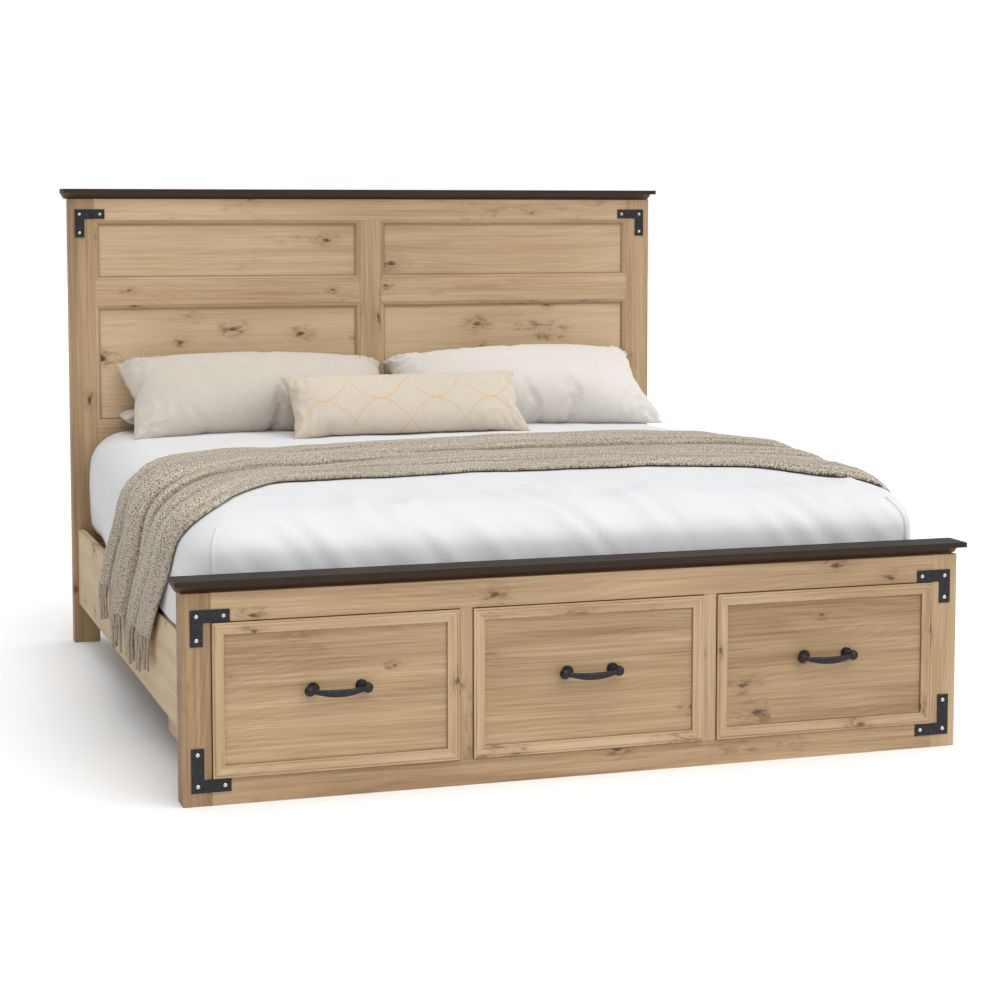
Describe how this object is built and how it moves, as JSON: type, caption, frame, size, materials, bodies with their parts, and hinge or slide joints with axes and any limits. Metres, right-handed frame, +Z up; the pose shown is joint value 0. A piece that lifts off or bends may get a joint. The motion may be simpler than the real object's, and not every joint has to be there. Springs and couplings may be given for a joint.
{
  "type": "platform bed with storage drawers",
  "caption": "Made-up platform bed with a panelled wood headboard, storage drawers that slide out of the footboard, duvet, fringed throw and pillows.",
  "frame": {"origin": "on the floor, at the centre of the bounding box in plan", "axes": "+Z up; +X to the right seen from the foot of the bed; -Y towards the foot, where the drawers pull out; +Y towards the headboard"},
  "size_m": [2.091, 2.267, 1.485],
  "materials": {
    "oak": "matt oiled oak with knots",
    "dark_cap": "matt, stained dark brown",
    "pine": "planed, unfinished",
    "drawer_ply": "sealed birch plywood",
    "black_iron": "matt black, lightly hammered",
    "screw_steel": "satin",
    "slide_steel": "zinc plated",
    "plate_steel": "black powder coat",
    "ticking": "woven ticking",
    "duvet_cotton": "fine washed cotton",
    "throw_knit": "loose heavy weave",
    "linen": "washed linen",
    "printed_cotton": "cotton with a gold line pattern"
  },
  "bodies": {
    "frame": {"headboard_stile_left": "oak", "headboard_stile_right": "oak", "headboard_centre_stile": "oak", "headboard_top_rail": "oak", "headboard_bottom_rail": "oak", "headboard_mid_rails": "oak", "headboard_upper_panels": "oak", "headboard_lower_panels": "oak", "headboard_upper_mouldings": "oak", "headboard_lower_mouldings": "oak", "headboard_base_panel": "oak", "headboard_base_rail": "oak", "headboard_cap": "dark_cap", "footboard_post_left": "oak", "footboard_post_right": "oak", "footboard_top_rail": "oak", "footboard_bottom_rail": "oak", "footboard_dividers": "oak", "footboard_inner_rail": "oak", "footboard_cap": "dark_cap", "side_rail_left": "oak", "side_rail_right": "oak", "rail_joint_plates": "plate_steel", "slat_ledgers": "pine", "slats": "pine", "centre_beam": "pine", "centre_legs": "pine", "drawer_guide_panels": "drawer_ply", "drawer_guide_back": "drawer_ply", "cabinet_slides": "slide_steel", "corner_brackets": "black_iron", "bracket_screws": "screw_steel", "mattress": "ticking", "duvet": "duvet_cotton", "throw": "throw_knit", "pillow_left": "linen", "pillow_right": "linen", "pillow_under_left": "linen", "pillow_lumbar": "printed_cotton"},
    "left_drawer": {"left_drawer_front": "oak", "left_drawer_moulding": "oak", "left_drawer_pull": "black_iron", "left_drawer_sides": "drawer_ply", "left_drawer_back": "drawer_ply", "left_drawer_bottom": "drawer_ply", "left_drawer_slides": "slide_steel"},
    "centre_drawer": {"centre_drawer_front": "oak", "centre_drawer_moulding": "oak", "centre_drawer_pull": "black_iron", "centre_drawer_sides": "drawer_ply", "centre_drawer_back": "drawer_ply", "centre_drawer_bottom": "drawer_ply", "centre_drawer_slides": "slide_steel"},
    "right_drawer": {"right_drawer_front": "oak", "right_drawer_moulding": "oak", "right_drawer_pull": "black_iron", "right_drawer_sides": "drawer_ply", "right_drawer_back": "drawer_ply", "right_drawer_bottom": "drawer_ply", "right_drawer_slides": "slide_steel"}
  },
  "joints": [
    {"name": "left_drawer_slide", "type": "slide", "parent": "frame", "child": "left_drawer", "axis": [0, -1, 0], "range_m": [0, 0.34]},
    {"name": "centre_drawer_slide", "type": "slide", "parent": "frame", "child": "centre_drawer", "axis": [0, -1, 0], "range_m": [0, 0.34]},
    {"name": "right_drawer_slide", "type": "slide", "parent": "frame", "child": "right_drawer", "axis": [0, -1, 0], "range_m": [0, 0.34]}
  ]
}
